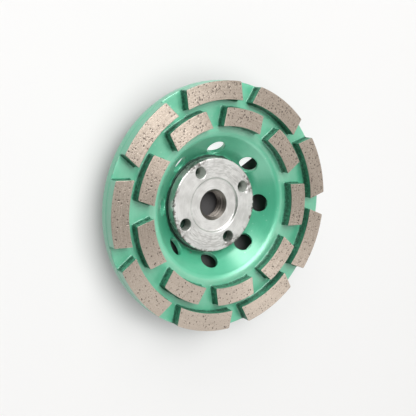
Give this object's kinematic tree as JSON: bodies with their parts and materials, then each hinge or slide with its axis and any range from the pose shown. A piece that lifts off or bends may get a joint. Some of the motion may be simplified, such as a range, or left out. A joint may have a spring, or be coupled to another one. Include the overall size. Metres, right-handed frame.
{
  "type": "diamond cup grinding wheel",
  "caption": "Diamond cup grinding wheel: dished green steel body with cooling holes, staggered rows of arc segments on its rim, and a round pin-spanner clamping nut.",
  "frame": {"origin": "centre of the hub's back face, on the arbor axis", "axes": "+Z along the arbor axis, from the hub's back face towards the working face; +Y through the middle of the first outer segment"},
  "size_m": [0.115, 0.115, 0.02],
  "materials": {
    "green_enamel": "glossy green enamel",
    "diamond_bond": "dressed sintered metal bond",
    "zinc_plate": "turned and zinc plated, worn"
  },
  "bodies": {
    "root": {"cup_body": "green_enamel", "outer_segment_01": "diamond_bond", "outer_segment_02": "diamond_bond", "outer_segment_03": "diamond_bond", "outer_segment_04": "diamond_bond", "outer_segment_05": "diamond_bond", "outer_segment_06": "diamond_bond", "outer_segment_07": "diamond_bond", "outer_segment_08": "diamond_bond", "outer_segment_09": "diamond_bond", "inner_segment_01": "diamond_bond", "inner_segment_02": "diamond_bond", "inner_segment_03": "diamond_bond", "inner_segment_04": "diamond_bond", "inner_segment_05": "diamond_bond", "inner_segment_06": "diamond_bond", "inner_segment_07": "diamond_bond", "inner_segment_08": "diamond_bond", "inner_segment_09": "diamond_bond", "flange_nut": "zinc_plate"}
  },
  "joints": []
}
